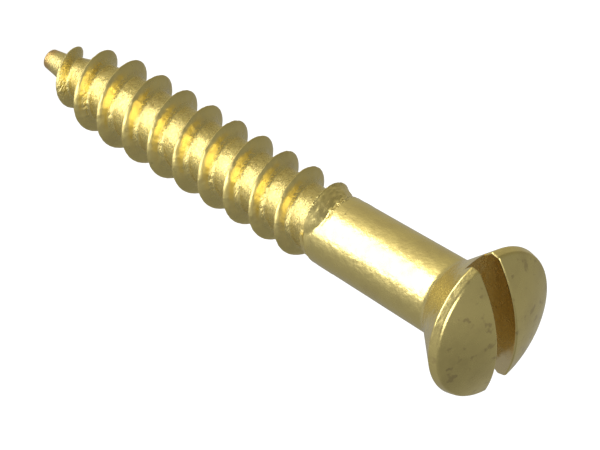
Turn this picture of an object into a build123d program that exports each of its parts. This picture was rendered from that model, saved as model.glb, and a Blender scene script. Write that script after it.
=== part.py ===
"""Slotted raised-countersunk wood screw, No. 8 x 1 1/4 in, solid brass with a rolled thread.

The screw is one piece of metal, so it is one node. Its frame has the origin at the centre
of the head's rim plane, which lies flush with the timber when the screw is driven home.
+Z points out of the head along the axis, the point is towards -Z, and X runs along the slot.
"""

import os
from math import cos, pi, radians, sin, tan

from build123d import *

# Head
HEAD_RADIUS = 4.165
LAND_THICKNESS = 0.38
DOME_RISE = 1.11
COUNTERSINK_HALF_ANGLE = 40.75
RIM_ROUNDING = 0.12
NECK_BLEND = 0.8

# Slot
SLOT_WIDTH = 1.36
SLOT_FLOOR_Z = -0.95

# Shank, which narrows slightly from the neck under the head to the thread
NECK_RADIUS = 2.15
SHANK_END_RADIUS = 1.985
SHANK_END_Z = -10.75

# Thread: right hand, 14 turns to the inch, fading in at the point and out at the shank
PITCH = 25.4 / 14
CREST_RADIUS = 2.29
CORE_RADIUS = 1.57
RUN_OUT_LENGTH = 1.75
FLANK_ANGLE = 24.0
CREST_WIDTH = 0.26
ROOT_SINK = 0.15
THREAD_START_Z = -30.69
THREAD_START_ANGLE = 8.0
FADE_IN_TURNS = 2.6
FADE_IN_DEPTH = 1.29
FULL_TURNS_END = 10.0
FADE_OUT_TURNS = 0.8
FADE_OUT_DEPTH = 0.40

# Blunt point
TIP_Z = -31.45
TIP_RADIUS = 0.52
TIP_ROUNDING = 0.15
POINT_NECK_Z = -30.3
POINT_NECK_RADIUS = 0.70
POINT_BASE_Z = -25.6


def crest_radius_at(turn: float) -> float:
    """Radius of the thread's crest after a number of turns from the point."""
    before_full = max(0.0, 1 - turn / FADE_IN_TURNS)
    past_full = max(0.0, (turn - FULL_TURNS_END) / FADE_OUT_TURNS)
    return CREST_RADIUS - FADE_IN_DEPTH * before_full**2 - FADE_OUT_DEPTH * past_full**2


def core_radius_at(z: float) -> float:
    """Radius of the core under the thread, which thins towards the point."""
    along = min(max((z - POINT_NECK_Z) / (POINT_BASE_Z - POINT_NECK_Z), 0.0), 1.0)
    return POINT_NECK_RADIUS + (CORE_RADIUS - POINT_NECK_RADIUS) * sin(along * pi / 2)


def thread_z(turn: float) -> float:
    """Height of the thread's middle after a number of turns from the point."""
    return THREAD_START_Z + PITCH * turn


def thread_plane(turn: float) -> Plane:
    """Upright plane that holds the screw's axis, with its origin on the core's surface."""
    angle = radians(THREAD_START_ANGLE) + 2 * pi * turn
    outward = Vector(cos(angle), sin(angle), 0)
    along_thread = Vector(-sin(angle), cos(angle), 0)
    origin = outward * CORE_RADIUS + Vector(0, 0, thread_z(turn))
    return Plane(origin=origin, x_dir=outward, z_dir=along_thread)


def thread_section(turn: float) -> Sketch:
    """Section of the ridge: a blunt wedge whose root is sunk in the core."""
    crest = crest_radius_at(turn) - CORE_RADIUS
    root = core_radius_at(thread_z(turn)) - ROOT_SINK - CORE_RADIUS
    half_crest = CREST_WIDTH / 2
    half_root = half_crest + (crest - root) * tan(radians(FLANK_ANGLE))
    with BuildSketch(thread_plane(turn)) as section:
        with BuildLine():
            Polyline(
                (root, -half_root),
                (crest, -half_crest),
                (crest, half_crest),
                (root, half_root),
                close=True,
            )
        make_face()
    return section.sketch


def thread_span(start: float, end: float) -> Part:
    """Stretch of the ridge between two turns, swept through three sections."""
    helix = Helix(pitch=PITCH, height=PITCH * (end - start), radius=CORE_RADIUS)
    path = Pos(0, 0, thread_z(start)) * Rot(0, 0, THREAD_START_ANGLE + 360 * start) * helix
    sections = [thread_section(turn) for turn in (start, (start + end) / 2, end)]
    with BuildPart() as span:
        sweep(sections=sections, path=path, multisection=True, is_frenet=True)
    return span.part


# The ridge comes in half turns, and the last two share the stretch where it fades out.
half_turns = [count / 2 for count in range(int(2 * FULL_TURNS_END) + 1)]
fade_out = [FULL_TURNS_END + FADE_OUT_TURNS / 2, FULL_TURNS_END + FADE_OUT_TURNS]
stops = half_turns + fade_out
ridge = [thread_span(start, end) for start, end in zip(stops, stops[1:])]

with BuildPart() as screw:
    # Head, shank and core are one turned profile, drawn on one side of the axis.
    dome_radius = (HEAD_RADIUS**2 + DOME_RISE**2) / (2 * DOME_RISE)
    cone_height = (HEAD_RADIUS - NECK_RADIUS) / tan(radians(COUNTERSINK_HALF_ANGLE))
    neck = (NECK_RADIUS, -LAND_THICKNESS - cone_height)
    point_middle_z = (POINT_NECK_Z + POINT_BASE_Z) / 2
    with BuildSketch(Plane.XZ) as profile:
        with BuildLine():
            RadiusArc((0, DOME_RISE), (HEAD_RADIUS, 0), dome_radius)
            Polyline(
                (HEAD_RADIUS, 0),
                (HEAD_RADIUS, -LAND_THICKNESS),
                neck,
                (SHANK_END_RADIUS, SHANK_END_Z),
                (CORE_RADIUS, SHANK_END_Z - RUN_OUT_LENGTH),
                (CORE_RADIUS, POINT_BASE_Z),
            )
            Spline(
                (CORE_RADIUS, POINT_BASE_Z),
                (core_radius_at(point_middle_z), point_middle_z),
                (POINT_NECK_RADIUS, POINT_NECK_Z),
                tangents=((0, -1), (-0.12, -1)),
            )
            Polyline(
                (POINT_NECK_RADIUS, POINT_NECK_Z),
                (TIP_RADIUS, TIP_Z),
                (0, TIP_Z),
                (0, DOME_RISE),
            )
        make_face()
        corners = profile.vertices()
        fillet(corners.group_by(Axis.X)[-1], RIM_ROUNDING)
        fillet(corners.sort_by_distance(neck)[0], NECK_BLEND)
        fillet(corners.sort_by_distance((TIP_RADIUS, TIP_Z))[0], TIP_ROUNDING)
    revolve(axis=Axis.Z)

    # A saw-cut slot runs right across the head.
    with BuildSketch(Plane.XY.offset(SLOT_FLOOR_Z)):
        Rectangle(3 * HEAD_RADIUS, SLOT_WIDTH)
    extrude(amount=DOME_RISE - SLOT_FLOOR_Z, mode=Mode.SUBTRACT)

    for span in ridge:
        add(span)

screw.part.label = "screw"
os.makedirs("parts", exist_ok=True)
export_step(screw.part, "parts/screw.step")
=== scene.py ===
"""Looks of a slotted brass wood screw with a raised-countersunk head and a rolled thread.

The screw is one piece of metal, so one piece stands for its CAD solid. Shapes are worked
out in millimetres, with the same frame as the CAD, and turned into metres as they are kept.
"""

import logging
from dataclasses import dataclass
from enum import Enum
from math import atan2, ceil, copysign, cos, degrees, floor, hypot, pi, radians, sin, sqrt, tan

import bmesh
import bpy
from mathutils import Matrix, Vector, noise


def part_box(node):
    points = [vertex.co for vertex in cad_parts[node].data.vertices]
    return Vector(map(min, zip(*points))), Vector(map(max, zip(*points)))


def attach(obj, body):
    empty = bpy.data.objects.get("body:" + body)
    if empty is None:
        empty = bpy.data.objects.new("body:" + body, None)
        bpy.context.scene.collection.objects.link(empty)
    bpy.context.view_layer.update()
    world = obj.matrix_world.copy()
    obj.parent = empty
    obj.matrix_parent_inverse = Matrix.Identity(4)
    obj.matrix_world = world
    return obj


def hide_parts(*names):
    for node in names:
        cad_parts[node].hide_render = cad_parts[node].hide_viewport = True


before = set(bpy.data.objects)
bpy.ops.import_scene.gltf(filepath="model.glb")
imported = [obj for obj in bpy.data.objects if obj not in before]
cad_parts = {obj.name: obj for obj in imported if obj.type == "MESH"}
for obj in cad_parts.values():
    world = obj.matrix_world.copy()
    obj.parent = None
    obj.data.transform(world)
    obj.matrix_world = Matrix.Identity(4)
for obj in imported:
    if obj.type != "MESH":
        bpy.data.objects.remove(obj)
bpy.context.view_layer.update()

MM = 0.001
CLOSE = 1e-4
LOG = logging.getLogger("wood_screw")


class Throw(Enum):
    """Which side of a flat cut is thrown away."""

    NEITHER = "neither"
    ABOVE = "above"
    BELOW = "below"


def smooth_max(first: float, second: float, blend: float) -> float:
    """The larger of two values, rounded over where they are within blend of each other."""
    overlap = max(blend - abs(first - second), 0.0) / blend
    return max(first, second) + overlap * overlap * blend / 4


def smooth_min(first: float, second: float, blend: float) -> float:
    """The smaller of two values, rounded over where they are within blend of each other."""
    return -smooth_max(-first, -second, blend)


def ramp(value: float, start: float, end: float) -> float:
    """How far value has come from start to end, from 0 to 1."""
    return min(max((value - start) / (end - start), 0.0), 1.0)


def flat_cut(bm: bmesh.types.BMesh, faces: list, point: Vector, normal: Vector, throw: Throw) -> None:
    """Cuts faces along a plane.

    Args:
        bm: The mesh being worked on.
        faces: The faces that the cut may reach.
        point: A point on the plane.
        normal: The plane's upward direction.
        throw: The side that is thrown away.
    """
    edges = {edge for face in faces for edge in face.edges}
    verts = {vert for face in faces for vert in face.verts}
    bmesh.ops.bisect_plane(
        bm,
        geom=[*verts, *edges, *faces],
        dist=CLOSE / 10,
        plane_co=point,
        plane_no=normal,
        clear_outer=throw is Throw.ABOVE,
        clear_inner=throw is Throw.BELOW,
    )


def rounded_corner(corner: Vector, arriving: Vector, leaving: Vector, radius: float, steps: int) -> list:
    """Arc that rounds a corner of an outline.

    Args:
        corner: The sharp corner, as radius and height.
        arriving: Unit direction in which the outline arrives.
        leaving: Unit direction in which it leaves.
        radius: Radius of the arc.
        steps: Number of equal steps along the arc.

    Returns:
        The arc's points, from the arriving side to the leaving side.
    """
    turn = arriving.angle_signed(leaving)
    start = corner - arriving * radius * tan(abs(turn) / 2)
    centre = corner + (leaving - arriving).normalized() * radius / cos(turn / 2)
    spokes = [Matrix.Rotation(-turn * step / steps, 2) for step in range(steps + 1)]
    return [centre + spoke @ (start - centre) for spoke in spokes]


def stretch(start: Vector, end: Vector, spacing: float) -> list:
    """Points between two ends of a straight run, without the ends themselves."""
    count = max(1, round((end - start).length / spacing))
    return [start.lerp(end, step / count) for step in range(1, count)]


@dataclass(frozen=True)
class Head:
    """Raised-countersunk head with its neck and plain shank, and the driver slot across it."""

    radius: float
    dome_rise: float = 1.11
    land: float = 0.46
    cone_angle: float = 40.75
    rim_rounding: float = 0.17
    brow_rounding: float = 0.28
    land_lean: float = 13.0
    neck_radius: float = 2.15
    neck_blend: float = 0.8
    shank_end_radius: float = 1.985
    shank_end_z: float = -10.75
    joint_z: float = -9.6
    segments: int = 256
    ring_spacing: float = 0.16
    slot_width: float = 1.36
    slot_floor: float = -0.95
    edge_radius: float = 0.10
    edge_margin: float = 0.03
    brow_steps: int = 8
    rim_steps: int = 6
    neck_steps: int = 8
    edge_steps: int = 4
    land_spacing: float = 0.06
    cone_spacing: float = 0.2
    shank_spacing: float = 0.3

    def dome_radius(self) -> float:
        """Radius of the sphere that the dome is part of."""
        return (self.radius**2 + self.dome_rise**2) / (2 * self.dome_rise)

    def dome_height(self, reach: float) -> float:
        """Height of the dome at a distance from the axis."""
        ball = self.dome_radius()
        return self.dome_rise - ball + sqrt(ball**2 - reach**2)

    def shank_radius(self, height: float) -> float:
        """Radius of the tapering shank at a height."""
        along = (height - self.neck_z()) / (self.shank_end_z - self.neck_z())
        return self.neck_radius + (self.shank_end_radius - self.neck_radius) * along

    def neck_z(self) -> float:
        """Height at which the cone would meet the shank without its blend."""
        return -self.land - (self.radius - self.neck_radius) / tan(radians(self.cone_angle))

    def outline(self) -> list:
        """Outline of half a section through the head, neck and shank.

        Returns:
            Its points from the dome's pole down to the joint, as radius and height.
        """
        rim_slope = self.radius / self.dome_radius()
        dome_end = Vector((sqrt(1 - rim_slope**2), -rim_slope))
        cone = Vector((-sin(radians(self.cone_angle)), -cos(radians(self.cone_angle))))
        neck = Vector((self.neck_radius, self.neck_z()))
        joint = Vector((self.shank_radius(self.joint_z), self.joint_z))
        shank = (joint - neck).normalized()
        belt = Vector((self.radius, -self.land))
        brow = self.radius - self.land * tan(radians(self.land_lean))
        brow = Vector((brow, self.dome_height(brow)))
        down = (belt - brow).normalized()
        upper = rounded_corner(brow, dome_end, down, self.brow_rounding, self.brow_steps)
        lower = rounded_corner(belt, down, cone, self.rim_rounding, self.rim_steps)
        blend = rounded_corner(neck, cone, shank, self.neck_blend, self.neck_steps)
        rings = round(upper[0].x / self.ring_spacing)
        dome = [Vector((upper[0].x * ring / rings, 0)) for ring in range(rings)]
        for point in dome:
            point.y = self.dome_height(point.x)
        points = dome + upper + stretch(upper[-1], lower[0], self.land_spacing) + lower
        points += stretch(lower[-1], blend[0], self.cone_spacing) + blend
        return points + stretch(blend[-1], joint, self.shank_spacing) + [joint]

    def turn(self, bm: bmesh.types.BMesh) -> None:
        """Turns the head, neck and shank as one skin.

        Args:
            bm: The mesh that takes the skin.
        """
        points = self.outline()
        chain = [bm.verts.new((point.x, 0, point.y)) for point in points]
        edges = [bm.edges.new(pair) for pair in zip(chain, chain[1:])]
        bmesh.ops.spin(
            bm,
            geom=[*chain, *edges],
            cent=(0, 0, 0),
            axis=(0, 0, 1),
            dvec=(0, 0, 0),
            angle=2 * pi,
            steps=self.segments,
            use_merge=True,
        )
        bmesh.ops.remove_doubles(bm, verts=bm.verts, dist=CLOSE)

    def saw_slot(self, bm: bmesh.types.BMesh) -> list:
        """Saws the slot across the head and rolls its edges over.

        Args:
            bm: The mesh that holds the turned head.

        Returns:
            The slot's floor and its two walls.
        """
        lip = self.slot_width / 2 + self.edge_radius + self.edge_margin
        level = Vector((0, 0, self.slot_floor))
        flat_cut(bm, self.faces_above(bm, self.slot_floor - 1), level, Vector((0, 0, 1)), Throw.NEITHER)
        for side in (-lip, lip):
            faces = self.faces_above(bm, self.slot_floor)
            flat_cut(bm, faces, Vector((0, side, 0)), Vector((0, 1, 0)), Throw.NEITHER)
        limit = self.radius - 2 * self.rim_rounding
        for vert in bm.verts:
            reach = hypot(vert.co.x, vert.co.y)
            if vert.co.z > 0 and reach < limit:
                vert.co.z = self.dome_height(reach)
        strip = [face for face in self.faces_above(bm, self.slot_floor) if self.in_slot(face, lip)]
        bm.normal_update()
        facing = {vert: vert.normal.copy() for face in strip for vert in face.verts}
        bmesh.ops.delete(bm, geom=strip, context="FACES")
        walls = [self.roll_edge(bm, side, lip, facing) for side in (-1, 1)]
        for wall in walls:
            feet = [vert for vert in wall if abs(vert.co.z - self.slot_floor) < CLOSE]
            bmesh.ops.contextual_create(bm, geom=feet)
        faces = []
        for wall in walls:
            verts = set(wall)
            edges = {edge for vert in wall for edge in vert.link_edges if set(edge.verts) <= verts}
            edges = [edge for edge in edges if self.is_open(edge)]
            faces += bmesh.ops.contextual_create(bm, geom=edges)["faces"]
        rim = [edge for edge in bm.edges if self.is_open(edge) and self.on_floor(edge)]
        faces += bmesh.ops.contextual_create(bm, geom=rim)["faces"]
        return faces

    def faces_above(self, bm: bmesh.types.BMesh, height: float) -> list:
        """Faces whose middle is above a height."""
        return [face for face in bm.faces if face.calc_center_median().z > height]

    def in_slot(self, face: bmesh.types.BMFace, lip: float) -> bool:
        """Whether a face is in the strip that the slot takes away."""
        return abs(face.calc_center_median().y) < lip

    def on_floor(self, edge: bmesh.types.BMEdge) -> bool:
        """Whether both ends of an edge are level with the slot's floor."""
        return all(abs(vert.co.z - self.slot_floor) < CLOSE for vert in edge.verts)

    def is_open(self, edge: bmesh.types.BMEdge) -> bool:
        """Whether a face is still missing beside an edge."""
        return edge.is_boundary or edge.is_wire

    def roll_edge(self, bm: bmesh.types.BMesh, side: int, lip: float, facing: dict) -> list:
        """Rolls the slot's edge over from the head's skin down into one wall.

        Args:
            bm: The mesh being worked on.
            side: -1 or 1, for the wall on that side of the slot.
            lip: Distance from the slot's middle at which the skin was cut.
            facing: Outward direction of the skin at each vertex of the cut.

        Returns:
            The vertices along the edge of the wall.
        """
        edges = [
            edge
            for edge in bm.edges
            if edge.is_boundary and all(abs(vert.co.y - side * lip) < CLOSE for vert in edge.verts)
        ]
        verts = {vert for edge in edges for vert in edge.verts}
        lanes = {vert: (vert.co.copy(), facing[vert]) for vert in verts}
        for inward, depth in self.edge_path():
            edges, lanes = self.pull_edge(bm, edges, lanes, -side * inward, depth)
        return list(lanes)

    def edge_path(self) -> list:
        """Path of the rolled edge.

        Returns:
            Its steps, as distance inward from the cut and depth below the skin.
        """
        arc = [radians(90) * step / self.edge_steps for step in range(self.edge_steps + 1)]
        path = [
            (self.edge_margin + self.edge_radius * sin(angle), self.edge_radius * (1 - cos(angle)))
            for angle in arc
        ]
        return path + [(self.edge_margin + self.edge_radius, self.edge_radius + self.edge_margin)]

    def pull_edge(
        self, bm: bmesh.types.BMesh, edges: list, lanes: dict, across: float, depth: float
    ) -> tuple:
        """Extrudes the slot's edge by one step of its rolled path.

        Args:
            bm: The mesh being worked on.
            edges: The edges to extrude.
            lanes: Where each vertex's lane began, and which way the skin faces there.
            across: Distance from the lane's beginning, across the slot.
            depth: Distance from the lane's beginning, into the metal.

        Returns:
            The new edges, and the lanes of the new vertices.
        """
        made = bmesh.ops.extrude_edge_only(bm, edges=edges)["geom"]
        fresh = {}
        for vert in made:
            if isinstance(vert, bmesh.types.BMVert):
                old = next(v for edge in vert.link_edges for v in edge.verts if v in lanes)
                fresh[vert] = lanes[old]
                start, skin = lanes[old]
                flat = Vector((skin.x, 0, skin.z))
                drop = flat.normalized() * (skin.y * min(abs(across), self.edge_margin) / flat.length)
                drop *= -1 if across > 0 else 1
                if abs(start.z - self.slot_floor) < CLOSE:
                    inward = Vector((depth / (skin.x / flat.length), 0, 0))
                    drop = Vector((0, 0, 0))
                else:
                    inward = flat.normalized() * depth
                vert.co = start + Vector((0, across, 0)) + drop - inward
        return [edge for edge in made if isinstance(edge, bmesh.types.BMEdge)], fresh


@dataclass(frozen=True)
class Thread:
    """Rolled right-hand thread, from the blunt point to where it runs out into the shank."""

    tip_z: float
    pitch: float = 25.4 / 14
    crest_radius: float = 2.32
    core_radius: float = 1.57
    crest_width: float = 0.14
    flank_angle: float = 24.0
    crest_blend: float = 0.34
    root_blend: float = 0.20
    start_z: float = -30.69
    start_angle: float = 8.0
    start_step: float = 0.7
    start_turns: tuple = (-0.06, 0.08)
    fade_in_turns: float = 2.6
    fade_in_depth: float = 1.29
    full_turns_end: float = 10.0
    fade_out_turns: float = 0.8
    fade_out_depth: float = 0.40
    tip_radius: float = 0.52
    tip_rounding: float = 0.15
    tip_steps: int = 5
    point_neck_z: float = -30.3
    point_neck_radius: float = 0.70
    point_base_z: float = -25.6
    groove_end_turn: float = 10.69
    groove_fade_turns: float = 1.34
    shoulder_z: float = -10.8
    shoulder_turn: float = 10.335
    shoulder_rise: float = 1.46
    shoulder_slope: float = 2.0
    shoulder_blend: float = 0.05
    closing_turns: float = 0.13
    thinning: float = 0.115
    thinning_heights: tuple = (-10.7, -11.7)
    groove_lean: float = 0.38
    lean_turns: tuple = (9.8, 10.3)
    torn_height: float = 0.03
    torn_reach: float = 0.3
    torn_start_turns: tuple = (9.9, 10.3)
    torn_end_turns: tuple = (10.69, 10.5)
    wander_scale: float = 9.0
    grit_scale: float = 26.0
    grit_shift: tuple = (3, 7, 1)
    edge_wander: float = 0.06
    edge_grit: float = 0.08
    ridge_wander: float = 0.02
    ridge_roughness: float = 0.010
    run_out_roughness: float = 0.006
    run_out_turns: tuple = (9.9, 10.5)
    joint_z: float = -9.8
    steps_per_turn: int = 132
    rows_per_pitch: int = 32
    row_crowding: float = 1.4

    def crest_at(self, turn: float) -> float:
        """Radius of the crest, which fades in at the point and out at the shank.

        Args:
            turn: Number of turns from the thread's start.

        Returns:
            The crest's radius there.
        """
        before_full = max(0.0, 1 - turn / self.fade_in_turns)
        past_full = max(0.0, (turn - self.full_turns_end) / self.fade_out_turns)
        start_step = self.start_step * (1 - ramp(turn, *self.start_turns))
        fades = self.fade_in_depth * before_full**2 + self.fade_out_depth * past_full**2
        return self.crest_radius - fades - start_step

    def core_at(self, height: float) -> float:
        """Radius of the core, which thins towards the point.

        Args:
            height: Height along the axis.

        Returns:
            The core's radius there.
        """
        if height < self.point_neck_z:
            along = (height - self.tip_z) / (self.point_neck_z - self.tip_z)
            return self.tip_radius + (self.point_neck_radius - self.tip_radius) * along
        along = ramp(height, self.point_neck_z, self.point_base_z)
        return self.point_neck_radius + (self.core_radius - self.point_neck_radius) * sin(along * pi / 2)

    def ridge_at(self, turn: float, offset: float) -> float:
        """Radius of the ridge's outline.

        Args:
            turn: Number of turns from the thread's start.
            offset: Distance along the axis from the ridge's middle.

        Returns:
            The ridge's radius there.
        """
        crest = self.crest_at(turn)
        slope = tan(radians(self.flank_angle))
        flank = crest + (self.crest_width / 2 - abs(offset)) / slope
        return smooth_min(crest, flank, self.crest_blend)

    def groove_at(self, turn: float, height: float, shank: float) -> float:
        """Radius of the groove's floor, which rises to the shank where the thread runs out.

        Args:
            turn: Number of turns from the thread's start.
            height: Height along the axis.
            shank: Radius of the plain shank, if it went on to that height.

        Returns:
            The floor's radius there.
        """
        rise = ramp(turn, self.groove_end_turn - self.groove_fade_turns, self.groove_end_turn)
        core = self.core_at(height)
        return core + (shank - core) * rise**2

    def edge_at(self, part_turn: float) -> tuple:
        """Where the last groove ends against the shank.

        Args:
            part_turn: Angle round the axis from the thread's start, as part of a turn.

        Returns:
            The turn of the last groove at that angle, and the height of its upper edge.
        """
        turn = part_turn + floor(self.groove_end_turn - part_turn)
        edge = self.shoulder_z + self.shoulder_rise * (turn - self.shoulder_turn)
        closing = ramp(turn, self.groove_end_turn - self.closing_turns, self.groove_end_turn)
        return turn, edge - self.shoulder_rise * closing**2

    def shoulder_at(self, edge_z: float, height: float, shank: float) -> float:
        """Radius of the shank's shoulder, which drops away steeply below its edge."""
        thinned = shank - self.thinning * ramp(max(height, edge_z), *self.thinning_heights)
        return thinned - max(0.0, edge_z - height) * self.shoulder_slope

    def radius_at(self, angle: float, height: float, shank: float) -> float:
        """Radius of the finished skin.

        Args:
            angle: Angle round the axis, in degrees.
            height: Height along the axis.
            shank: Radius of the plain shank, if it went on to that height.

        Returns:
            The skin's radius there.
        """
        part_turn = ((angle - self.start_angle) % 360) / 360
        rows = (height - self.start_z) / self.pitch - part_turn
        below = part_turn + floor(rows)
        place = Vector((cos(radians(angle)), sin(radians(angle)), height / self.crest_radius))
        wander = noise.noise(place * self.wander_scale)
        grit = noise.noise(place * self.grit_scale + Vector(self.grit_shift))
        last_turn, edge_z = self.edge_at(part_turn)
        edge_z += self.edge_wander * wander + self.edge_grit * grit
        lean = self.groove_lean * ramp(below, *self.lean_turns) * max(edge_z - height, 0.0)
        torn = self.torn_height * grit * ramp(abs(height - edge_z), self.torn_reach, 0.0)
        torn *= ramp(last_turn, *self.torn_start_turns) * ramp(last_turn, *self.torn_end_turns)
        skin = self.groove_at(below, height, shank) + lean + torn
        skin = smooth_max(skin, self.shoulder_at(edge_z, height, shank) + torn, self.shoulder_blend)
        for turn in (below, below + 1):
            offset = height - self.start_z - self.pitch * turn
            rough = self.ridge_roughness + self.run_out_roughness * ramp(turn, *self.run_out_turns)
            ridge = self.ridge_at(turn, offset + self.ridge_wander * wander) + rough * (wander + grit)
            skin = smooth_max(skin, ridge, self.root_blend)
        return skin

    def wind(self, bm: bmesh.types.BMesh) -> None:
        """Winds one pitch of skin up the axis and trims it level at both ends.

        Args:
            bm: An empty mesh.
        """
        bottom = self.tip_z - self.pitch
        turns = (self.joint_z - bottom) / self.pitch + 1
        first_angle = radians(self.start_angle)
        first_row = self.start_z - self.pitch * (1 + floor((self.start_z - bottom) / self.pitch))
        half = self.rows_per_pitch / 2
        shares = [(row - half) / half for row in range(self.rows_per_pitch + 1)]
        rises = [copysign(abs(share) ** self.row_crowding, share) for share in shares]
        heights = [first_row + self.pitch / 2 * rise for rise in rises]
        start = Vector((self.core_radius * cos(first_angle), self.core_radius * sin(first_angle), 0))
        chain = [bm.verts.new(start + Vector((0, 0, height))) for height in heights]
        edges = [bm.edges.new(pair) for pair in zip(chain, chain[1:])]
        bmesh.ops.spin(
            bm,
            geom=[*chain, *edges],
            cent=(0, 0, 0),
            axis=(0, 0, 1),
            dvec=(0, 0, self.pitch / self.steps_per_turn),
            angle=2 * pi,
            steps=self.steps_per_turn,
            use_merge=False,
        )
        one_turn = [*bm.verts, *bm.edges, *bm.faces]
        for turn in range(1, ceil(turns) + 1):
            copied = bmesh.ops.duplicate(bm, geom=one_turn)["geom"]
            verts = [item for item in copied if isinstance(item, bmesh.types.BMVert)]
            bmesh.ops.translate(bm, vec=(0, 0, self.pitch * turn), verts=verts)
        bmesh.ops.remove_doubles(bm, verts=bm.verts, dist=CLOSE)
        base = Vector((0, 0, self.tip_z + self.tip_rounding))
        up = Vector((0, 0, 1))
        flat_cut(bm, bm.faces[:], base, up, Throw.BELOW)
        flat_cut(bm, bm.faces[:], Vector((0, 0, self.joint_z)), up, Throw.ABOVE)

    def shape(self, bm: bmesh.types.BMesh, head: Head) -> None:
        """Gives every vertex of the wound skin its finished radius.

        Args:
            bm: The mesh that holds the wound skin and nothing else.
            head: The head, which knows how the shank tapers.
        """
        for vert in bm.verts:
            angle = atan2(vert.co.y, vert.co.x)
            reach = self.radius_at(degrees(angle), vert.co.z, head.shank_radius(vert.co.z))
            vert.co.x = reach * cos(angle)
            vert.co.y = reach * sin(angle)

    def close_point(self, bm: bmesh.types.BMesh) -> None:
        """Rounds the blunt point over and closes its end.

        Args:
            bm: The mesh that holds the shaped skin.
        """
        base = self.tip_z + self.tip_rounding
        edges = [edge for edge in bm.edges if edge.is_boundary and edge.verts[0].co.z < base + 1]
        start = self.core_at(base)
        before = 1.0
        for step in range(1, self.tip_steps + 1):
            swing = radians(90) * step / self.tip_steps
            made = bmesh.ops.extrude_edge_only(bm, edges=edges)["geom"]
            verts = [item for item in made if isinstance(item, bmesh.types.BMVert)]
            edges = [item for item in made if isinstance(item, bmesh.types.BMEdge)]
            share = (start - self.tip_rounding * (1 - cos(swing))) / start
            for vert in verts:
                vert.co.x *= share / before
                vert.co.y *= share / before
                vert.co.z = base - self.tip_rounding * sin(swing)
            before = share
        bmesh.ops.contextual_create(bm, geom=edges)


class Shade:
    """Short way to lay out a material's nodes."""

    def __init__(self, tree: bpy.types.NodeTree) -> None:
        """Takes the node tree and empties it."""
        self.tree = tree
        tree.nodes.clear()

    def node(self, kind: str, inputs: dict | None = None, **settings: object) -> bpy.types.Node:
        """Adds a node.

        Args:
            kind: The node's type name, without the ShaderNode in front.
            inputs: What goes into its sockets, by name or number: a value, or a socket to link.
            settings: The node's own properties.

        Returns:
            The new node.
        """
        made = self.tree.nodes.new("ShaderNode" + kind)
        for name, value in settings.items():
            setattr(made, name, value)
        for name, value in (inputs or {}).items():
            if isinstance(value, bpy.types.NodeSocket):
                self.tree.links.new(value, made.inputs[name])
            else:
                made.inputs[name].default_value = value
        return made

    def math(self, operation: str, *values: object) -> bpy.types.NodeSocket:
        """Result of one arithmetic step on numbers or sockets."""
        return self.node("Math", dict(enumerate(values)), operation=operation).outputs[0]

    def spread(self, value: bpy.types.NodeSocket, *limits: float) -> bpy.types.NodeSocket:
        """Maps a value smoothly from one range to another.

        Args:
            value: The value to map.
            limits: The two ends of its range, then what they become.

        Returns:
            The mapped value.
        """
        names = ("From Min", "From Max", "To Min", "To Max")
        inputs = {"Value": value, **dict(zip(names, limits))}
        return self.node("MapRange", inputs, interpolation_type="SMOOTHSTEP").outputs[0]

    def grain(self, place: bpy.types.NodeSocket, scale: float, detail: float) -> bpy.types.NodeSocket:
        """Fractal noise at a place, with a scale in grains per millimetre."""
        sockets = {"Vector": place, "Scale": scale, "Detail": detail}
        return self.node("TexNoise", sockets).outputs["Fac"]

    def blend(self, share: object, first: object, second: object) -> bpy.types.NodeSocket:
        """Blends two numbers by a share from 0 to 1."""
        return self.node("Mix", {0: share, 2: first, 3: second}, data_type="FLOAT").outputs[0]

    def mix(self, share: object, first: object, second: object) -> bpy.types.NodeSocket:
        """Mixes two colours by a share from 0 to 1."""
        sockets = {0: share, 6: first, 7: second}
        return self.node("Mix", sockets, data_type="RGBA").outputs[2]


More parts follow.
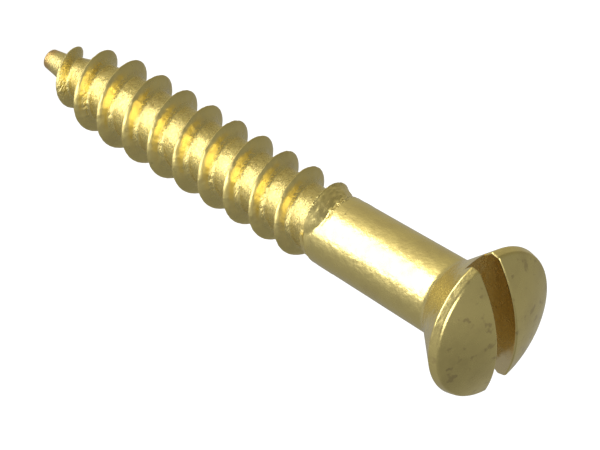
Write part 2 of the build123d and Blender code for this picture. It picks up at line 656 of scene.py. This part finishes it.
@dataclass(frozen=True)
class BrassFinish:
    """Bright rolled and turned brass, lightly scratched, with a few dull spots.

    The tuples of four numbers are ranges of noise and what they become.
    """

    thread: Thread
    colour: tuple = (0.85, 0.705, 0.27, 1)
    dull: tuple = (0.60, 0.475, 0.20, 1)
    sawn: tuple = (0.80, 0.66, 0.36, 1)
    copper: tuple = (0.72, 0.46, 0.17, 1)
    copper_share: float = 0.8
    copper_fade: float = 0.5
    cloud_scale: float = 0.7
    clouds: tuple = (0.45, 0.75, 0, 0.35)
    spot_scale: float = 1.6
    spots: tuple = (0.57, 0.68, 0, 0.85)
    roughness: float = 0.215
    sheen_scale: float = 2.5
    sheen_grain: tuple = (0.3, 0.7)
    sheen_shares: tuple = (0.8, 1.3)
    flank_roughness: float = 0.10
    root_roughness: float = 0.03
    peel_scale: float = 2.6
    peel_height: float = 0.034
    line_scale: float = 3.0
    line_height: float = 0.002
    line_squash: tuple = (1, 1, 5)
    grit_scale: float = 4.5
    grit_height: float = 0.040
    bead_scale: float = 3.6
    beads: tuple = (0.46, 0.64, 0, 0.05)
    burr_reach: tuple = (0.06, 0.24)
    burr_start_turns: tuple = (9.9, 10.1)
    burr_end_turns: tuple = (10.50, 10.62)
    head_calm: float = 0.80
    head_limits: tuple = (-0.5, 0.2)
    thread_top: float = -11.0
    thread_blend: float = 0.2
    root_radius: float = 1.75
    root_blend: float = 0.1
    point_top: float = -30.7
    slot_reach: float = 0.69
    slot_depth: float = -1.0

    def material(self) -> bpy.types.Material:
        """Makes the finish.

        Returns:
            The finish as a material on Object coordinates.
        """
        made = bpy.data.materials.new("brass_rolled_and_turned")
        made.use_nodes = True
        shade = Shade(made.node_tree)
        metres = shade.node("TexCoord").outputs["Object"]
        place = shade.node("VectorMath", {0: metres, "Scale": 1 / MM}, operation="SCALE").outputs[0]
        axes = shade.node("SeparateXYZ", {0: place}).outputs
        squares = [shade.math("MULTIPLY", axis, axis) for axis in (axes[0], axes[1])]
        reach = shade.math("SQRT", shade.math("ADD", *squares))
        top, edge = self.thread_top, self.thread_blend
        in_thread = shade.spread(axes[2], top - edge, top + edge, 1, 0)
        root, edge = self.root_radius, self.root_blend
        low = shade.spread(reach, root - edge, root + edge, 1, 0)
        in_root = shade.math("MULTIPLY", in_thread, low)
        on_flank = shade.math("SUBTRACT", in_thread, in_root)
        on_head = shade.spread(axes[2], *self.head_limits, 0, 1)
        colour = self.tarnish(shade, place, axes, on_head)
        rough = self.polish(shade, place, in_root, on_flank)
        normal = self.marks(shade, place, axes, in_root, on_head)
        sockets = {"Base Color": colour, "Roughness": rough, "Normal": normal, "Metallic": 1.0}
        metal = shade.node("BsdfPrincipled", sockets)
        shade.node("OutputMaterial", {"Surface": metal.outputs[0]})
        return made

    def tarnish(self, shade: Shade, place: object, axes: object, on_head: object) -> bpy.types.NodeSocket:
        """Colour of the brass from end to end.

        Args:
            shade: The material's nodes.
            place: Place on the screw, in millimetres.
            axes: The same place, as three coordinates.
            on_head: 1 on the head and 0 below it.

        Returns:
            The colour, with cloudy dull patches, spots on the head, paler sawn walls in the
            slot and a coppery point.
        """
        clouds = shade.spread(shade.grain(place, self.cloud_scale, 4), *self.clouds)
        spots = shade.spread(shade.grain(place, self.spot_scale, 3), *self.spots)
        dull = shade.math("MAXIMUM", clouds, shade.math("MULTIPLY", spots, on_head))
        colour = shade.mix(dull, self.colour, self.dull)
        between_walls = shade.math("LESS_THAN", shade.math("ABSOLUTE", axes[1]), self.slot_reach)
        above_floor = shade.math("GREATER_THAN", axes[2], self.slot_depth)
        in_slot = shade.math("MULTIPLY", between_walls, above_floor)
        colour = shade.mix(in_slot, colour, self.sawn)
        end = self.point_top - self.copper_fade
        at_point = shade.spread(axes[2], self.point_top, end, 0, self.copper_share)
        return shade.mix(at_point, colour, self.copper)

    def polish(self, shade: Shade, place: object, in_root: object, on_flank: object) -> bpy.types.NodeSocket:
        """Roughness of the brass from end to end.

        Args:
            shade: The material's nodes.
            place: Place on the screw, in millimetres.
            in_root: 1 in the thread's root and 0 elsewhere.
            on_flank: 1 on the thread's ridges and 0 elsewhere.

        Returns:
            The roughness, which wanders a little and is higher on the thread.
        """
        limits = [self.roughness * share for share in self.sheen_shares]
        wander = shade.spread(shade.grain(place, self.sheen_scale, 5), *self.sheen_grain, *limits)
        root = shade.math("MULTIPLY", in_root, self.root_roughness)
        thread = shade.math("MULTIPLY_ADD", on_flank, self.flank_roughness, root)
        return shade.math("ADD", wander, thread)

    def run_out_burr(self, shade: Shade, axes: object) -> bpy.types.NodeSocket:
        """Where burrs stand: along the last turn's crest and the shank's edge above it.

        Args:
            shade: The material's nodes.
            axes: Place on the screw, as three coordinates in millimetres.

        Returns:
            1 along the burrs and 0 elsewhere.
        """
        thread = self.thread
        whole = floor(thread.groove_end_turn) - 1
        angle = shade.math("ARCTAN2", axes[1], axes[0])
        part = shade.math("MULTIPLY_ADD", angle, 1 / (2 * pi), -thread.start_angle / 360)
        part = shade.math("FRACT", part)
        last_part = thread.groove_end_turn - floor(thread.groove_end_turn)
        turn = shade.math("ADD", part, shade.math("LESS_THAN", part, last_part))
        edge_start = thread.shoulder_z + thread.shoulder_rise * (whole - thread.shoulder_turn)
        crest_start = thread.start_z + thread.pitch * whole
        lines = []
        for start, rise in ((edge_start, thread.shoulder_rise), (crest_start, thread.pitch)):
            line = shade.math("MULTIPLY_ADD", turn, rise, start)
            distance = shade.math("ABSOLUTE", shade.math("SUBTRACT", axes[2], line))
            lines.append(shade.spread(distance, *self.burr_reach, 1, 0))
        near = shade.math("MAXIMUM", *lines)
        started = shade.spread(turn, *(limit - whole for limit in self.burr_start_turns), 0, 1)
        ended = shade.spread(turn, *(limit - whole for limit in self.burr_end_turns), 1, 0)
        return shade.math("MULTIPLY", near, shade.math("MULTIPLY", started, ended))

    def marks(self, shade: Shade, place: object, axes: object, in_root: object, on_head: object) -> object:
        """Small marks in the surface.

        Args:
            shade: The material's nodes.
            place: Place on the screw, in millimetres.
            axes: The same place, as three coordinates.
            in_root: 1 in the thread's root and 0 elsewhere.
            on_head: 1 on the head and 0 below it.

        Returns:
            The normal, bent by orange peel, turning lines, grit in the root and burrs where
            the thread ends.
        """
        along = shade.node("Mapping", {"Vector": place, "Scale": self.line_squash}).outputs[0]
        peel = shade.grain(place, self.peel_scale, 3)
        lines = shade.grain(along, self.line_scale, 5)
        grit = shade.grain(along, self.grit_scale, 6)
        beads = shade.spread(shade.grain(place, self.bead_scale, 3), *self.beads)
        height = shade.math("MULTIPLY", peel, self.peel_height)
        height = shade.math("ADD", height, shade.math("MULTIPLY", lines, self.line_height))
        rolled = shade.math("MULTIPLY", grit, shade.math("MULTIPLY", in_root, self.grit_height))
        height = shade.math("ADD", height, rolled)
        burr = shade.math("MULTIPLY", beads, self.run_out_burr(shade, axes))
        height = shade.math("ADD", height, burr)
        calm = shade.math("MULTIPLY_ADD", on_head, -self.head_calm, 1)
        height = shade.math("MULTIPLY", height, calm)
        sockets = {"Height": height, "Strength": 1.0, "Distance": MM}
        return shade.node("Bump", sockets).outputs[0]


@dataclass
class WoodScrew:
    """The whole screw, one piece of brass."""

    head: Head
    thread: Thread
    finish: BrassFinish

    def build(self) -> bpy.types.Object:
        """Builds the screw, dresses it and puts it in place of its CAD solid.

        Returns:
            The finished screw.
        """
        bm = bmesh.new()
        self.thread.wind(bm)
        self.thread.shape(bm, self.head)
        self.thread.close_point(bm)
        self.head.turn(bm)
        low, high = self.thread.joint_z - CLOSE, self.head.joint_z + CLOSE
        ends = [edge for edge in bm.edges if edge.is_boundary and low < edge.verts[0].co.z < high]
        bmesh.ops.bridge_loops(bm, edges=ends)
        slot_faces = self.head.saw_slot(bm)
        bmesh.ops.recalc_face_normals(bm, faces=bm.faces)
        for face in bm.faces:
            face.smooth = True
        for face in slot_faces:
            for edge in face.edges:
                edge.smooth = not self.head.on_floor(edge)
        LOG.info("open edges left: %d", sum(not edge.is_manifold for edge in bm.edges))
        bmesh.ops.scale(bm, vec=(MM, MM, MM), verts=bm.verts)
        mesh = bpy.data.meshes.new("wood_screw")
        bm.to_mesh(mesh)
        bm.free()
        mesh.materials.append(self.finish.material())
        screw = bpy.data.objects.new("wood_screw", mesh)
        bpy.context.scene.collection.objects.link(screw)
        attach(screw, "root")
        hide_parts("screw")
        return screw


@dataclass(frozen=True)
class Studio:
    """Pale floor, soft light and the camera, placed round the screw.

    Shifts and rises are angles in degrees. An edge says where a patch of the room begins and
    ends, as the cosine of an angle: from the patch's middle, or from straight up.
    """

    floor_z: float
    azimuth: float = -51.5
    elevation: float = 32.0
    roll: float = 31.05
    distance: float = 650.0
    picture_width: float = 30.256
    aim_along: float = -10.85
    aim_across: float = -0.706
    key_shift: float = -2.0
    key_drop: float = 32.0
    key_distance: float = 150.0
    key_width: float = 166.0
    key_height: float = 90.0
    key_radiance: float = 2.9
    window_shift: float = -22.0
    window_rise: float = 42.0
    window_edge: tuple = (0.90, 0.96)
    window_radiance: float = 3.0
    left_fade: tuple = (-2.76, 0.54, 1.6, 0.40)
    right_fade: tuple = (3.97, -0.84, 0.45, 0.31)
    side_limit: float = 1.2
    ceiling_glow: float = 0.325
    ceiling_slant: float = -0.08
    dark_shift: float = -122.0
    dark_rise: float = 28.0
    dark_edge: tuple = (0.55, 0.97)
    dark_depth: float = 0.14
    low_edge: tuple = (-0.38, -0.05)
    deep_edge: tuple = (-0.95, -0.65)
    deep_glow: float = 0.44
    backdrop_glow: float = 1.15
    warm_tint: tuple = (1, 0.95, 0.78, 1)
    warm_shift: float = 90.0
    warm_rise: float = -20.0
    warm_edge: tuple = (0.2, 1)
    floor_size: float = 3.0
    floor_shade: float = 0.2
    floor_glow: float = 0.9

    def toward(self, shift: float, elevation: float) -> Vector:
        """Direction from the screw.

        Args:
            shift: Angle round the axis from the camera, as seen from the point.
            elevation: Angle above the level.

        Returns:
            The unit direction.
        """
        around = radians(self.azimuth - shift)
        level = Vector((sin(around), -cos(around), 0))
        return level * cos(radians(elevation)) + Vector((0, 0, sin(radians(elevation))))

    def place_camera(self) -> None:
        """Puts the camera at its viewing angle, with a long lens."""
        spot = self.toward(0, self.elevation) * self.distance
        aside = self.toward(0, 0).cross(Vector((0, 0, 1)))
        aim = aside.cross(spot).normalized() * self.aim_along + aside * self.aim_across
        back = (spot - aim).normalized()
        along = aside.cross(back).normalized()
        aside = back.cross(along)
        right = along * cos(radians(self.roll)) + aside * sin(radians(self.roll))
        up = along * -sin(radians(self.roll)) + aside * cos(radians(self.roll))
        camera = bpy.data.objects.new("camera", bpy.data.cameras.new("camera"))
        camera.matrix_world = Matrix((right, up, back)).transposed().to_4x4()
        camera.location = spot * MM
        camera.data.sensor_width = 36.0
        camera.data.lens = camera.data.sensor_width * self.distance / self.picture_width
        bpy.context.scene.collection.objects.link(camera)
        bpy.context.scene.camera = camera

    def hang_key_light(self) -> None:
        """Hangs the soft box that shines on the middle of the screw from below."""
        data = bpy.data.lights.new("key_soft_box", "AREA")
        data.shape = "RECTANGLE"
        data.size = self.key_width * MM
        data.size_y = self.key_height * MM
        data.energy = self.key_radiance * pi * data.size * data.size_y
        light = bpy.data.objects.new("key_soft_box", data)
        facing = self.toward(self.key_shift, -self.key_drop)
        light.rotation_euler = facing.to_track_quat("Z", "Y").to_euler()
        light.location = (facing * self.key_distance + Vector((0, 0, self.floor_z / 2))) * MM
        light.visible_camera = False
        bpy.context.scene.collection.objects.link(light)

    def paint_room(self) -> None:
        """Paints the room: plain white to look at, and a dim glow as the brass mirrors it."""
        world = bpy.data.worlds.new("studio_room")
        world.use_nodes = True
        bpy.context.scene.world = world
        shade = Shade(world.node_tree)
        ray = shade.node("LightPath").outputs
        ahead = shade.node("TexCoord").outputs["Object"]
        plain = shade.math("MAXIMUM", ray["Is Camera Ray"], ray["Is Diffuse Ray"])
        mirrored = shade.math("SUBTRACT", 1, plain)
        strength = shade.math("MULTIPLY", mirrored, self.room_glow(shade, ahead))
        strength = shade.math("MULTIPLY_ADD", plain, self.backdrop_glow, strength)
        warm = self.along(shade, ahead, self.toward(self.warm_shift, self.warm_rise))
        warm = shade.math("MULTIPLY", mirrored, shade.spread(warm, *self.warm_edge, 0, 1))
        tint = shade.mix(warm, (1, 1, 1, 1), self.warm_tint)
        shine = shade.node("Background", {"Color": tint, "Strength": strength})
        shade.node("OutputWorld", {"Surface": shine.outputs[0]})

    def along(self, shade: Shade, ahead: bpy.types.NodeSocket, way: Vector) -> bpy.types.NodeSocket:
        """How far a ray's direction goes along another direction."""
        return shade.node("VectorMath", {0: ahead, 1: way}, operation="DOT_PRODUCT").outputs["Value"]

    def fade(
        self, shade: Shade, angle: object, rate: float, start: float, height: float, rest: float
    ) -> object:
        """Exponential fade of brightness round the axis.

        Args:
            shade: The world's nodes.
            angle: Angle round the axis from the camera, in radians.
            rate: How fast it fades with the angle.
            start: Angle at which it stands at its height above the rest.
            height: Brightness above the rest at the start.
            rest: Brightness that is left far from the light.

        Returns:
            The faded brightness.
        """
        fall = shade.math("EXPONENT", shade.math("MULTIPLY", shade.math("SUBTRACT", angle, start), rate))
        return shade.math("MULTIPLY_ADD", fall, height, rest)

    def room_glow(self, shade: Shade, ahead: bpy.types.NodeSocket) -> bpy.types.NodeSocket:
        """Brightness of the room as the brass mirrors it.

        Args:
            shade: The world's nodes.
            ahead: Direction of the ray.

        Returns:
            Dim above, with a darker side and a window, and brighter below, where it fades
            round the axis.
        """
        rise = shade.node("SeparateXYZ", {0: ahead}).outputs[2]
        across = self.along(shade, ahead, self.toward(90, 0))
        outward = self.along(shade, ahead, self.toward(0, 0))
        round_axis = shade.math("ARCTAN2", across, outward)
        left = self.fade(shade, round_axis, *self.left_fade)
        right = self.fade(shade, round_axis, *self.right_fade)
        beside = shade.math("MINIMUM", shade.math("MINIMUM", left, right), self.side_limit)
        dark_side = self.along(shade, ahead, self.toward(self.dark_shift, self.dark_rise))
        darkness = shade.spread(dark_side, *self.dark_edge, 0, self.dark_depth)
        above = shade.math("SUBTRACT", self.ceiling_glow, darkness)
        above = shade.math("MULTIPLY_ADD", across, self.ceiling_slant, above)
        low = shade.spread(rise, *self.low_edge, 1, 0)
        deep = shade.spread(rise, *self.deep_edge, 1, 0)
        glow = shade.blend(low, above, beside)
        window = self.along(shade, ahead, self.toward(self.window_shift, self.window_rise))
        window = shade.spread(window, *self.window_edge, 0, self.window_radiance)
        return shade.math("ADD", shade.blend(deep, glow, self.deep_glow), window)

    def lay_floor(self) -> None:
        """Lays the pale floor under the screw's point, glowing so that no shadow shows on it."""
        bm = bmesh.new()
        bmesh.ops.create_grid(bm, x_segments=1, y_segments=1, size=self.floor_size)
        bmesh.ops.translate(bm, vec=(0, 0, self.floor_z * MM), verts=bm.verts)
        mesh = bpy.data.meshes.new("studio_floor")
        bm.to_mesh(mesh)
        bm.free()
        paint = bpy.data.materials.new("pale_floor_paint")
        paint.use_nodes = True
        shade = Shade(paint.node_tree)
        grey = self.floor_shade
        matt = shade.node("BsdfDiffuse", {"Color": (grey, grey, grey, 1)})
        glowing = shade.node("Emission", {"Color": (1, 1, 1, 1), "Strength": self.floor_glow})
        both = shade.node("AddShader", {0: matt.outputs[0], 1: glowing.outputs[0]})
        shade.node("OutputMaterial", {"Surface": both.outputs[0]})
        mesh.materials.append(paint)
        ground = bpy.data.objects.new("studio_floor", mesh)
        ground.visible_glossy = False
        ground.visible_shadow = False
        bpy.context.scene.collection.objects.link(ground)


def main() -> None:
    """Builds the screw and the studio round it, and logs the screw's face count and the floor's height."""
    logging.basicConfig(level=logging.INFO, format="%(name)s: %(message)s")
    low, high = (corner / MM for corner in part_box("screw"))
    thread = Thread(tip_z=low.z)
    screw = WoodScrew(Head(radius=high.y), thread, BrassFinish(thread)).build()
    LOG.info("%s: %d faces", screw.name, len(screw.data.polygons))
    studio = Studio(floor_z=low.z)
    studio.lay_floor()
    studio.hang_key_light()
    studio.paint_room()
    studio.place_camera()
    bpy.context.scene.view_settings.view_transform = "Standard"
    LOG.info("studio: floor at %.2f mm", low.z)


if __name__ == "__main__":
    main()
